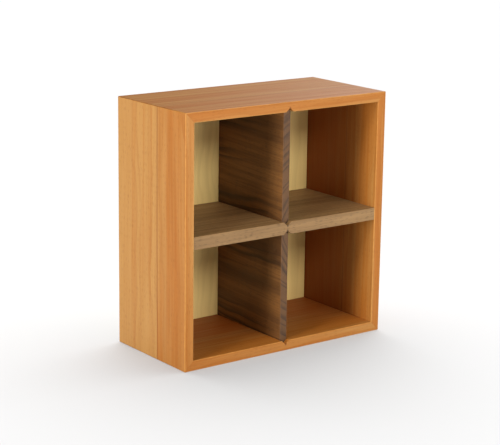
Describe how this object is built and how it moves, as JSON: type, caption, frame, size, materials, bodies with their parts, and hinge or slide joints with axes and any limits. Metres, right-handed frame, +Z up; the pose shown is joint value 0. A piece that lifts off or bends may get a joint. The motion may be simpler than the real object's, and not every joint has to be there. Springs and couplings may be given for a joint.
{
  "type": "cube storage unit",
  "caption": "Tabletop cube storage unit with a mitred beech carcass, a fixed walnut shelf, sliding walnut dividers and a pale captured back panel.",
  "frame": {"origin": "centre of the footprint, on the surface that the unit stands on", "axes": "+Z up, -Y out of the open front, +X to the right seen from the front"},
  "size_m": [0.292, 0.14, 0.3],
  "materials": {
    "beech": "oiled, satin",
    "walnut": "oiled, matte",
    "pale_panel": "matte veneer",
    "pressed_beech": "unfinished"
  },
  "bodies": {
    "carcass": {"top_front_stave": "beech", "top_rear_stave": "beech", "bottom_front_stave": "beech", "bottom_rear_stave": "beech", "left_front_stave": "beech", "left_rear_stave": "beech", "right_front_stave": "beech", "right_rear_stave": "beech", "shelf": "walnut", "back_panel": "pale_panel", "bottom_left_front_biscuit": "pressed_beech", "bottom_left_rear_biscuit": "pressed_beech", "bottom_right_front_biscuit": "pressed_beech", "bottom_right_rear_biscuit": "pressed_beech", "top_left_front_biscuit": "pressed_beech", "top_left_rear_biscuit": "pressed_beech", "top_right_front_biscuit": "pressed_beech", "top_right_rear_biscuit": "pressed_beech", "shelf_left_front_dowel": "pressed_beech", "shelf_left_rear_dowel": "pressed_beech", "shelf_right_front_dowel": "pressed_beech", "shelf_right_rear_dowel": "pressed_beech"},
    "upper_divider": {"upper_divider": "walnut"},
    "lower_divider": {"lower_divider": "walnut"}
  },
  "joints": [
    {"name": "upper_divider_slide", "type": "slide", "parent": "carcass", "child": "upper_divider", "axis": [0, -1, 0], "range_m": [0, 0.135]},
    {"name": "lower_divider_slide", "type": "slide", "parent": "carcass", "child": "lower_divider", "axis": [0, -1, 0], "range_m": [0, 0.135]}
  ]
}
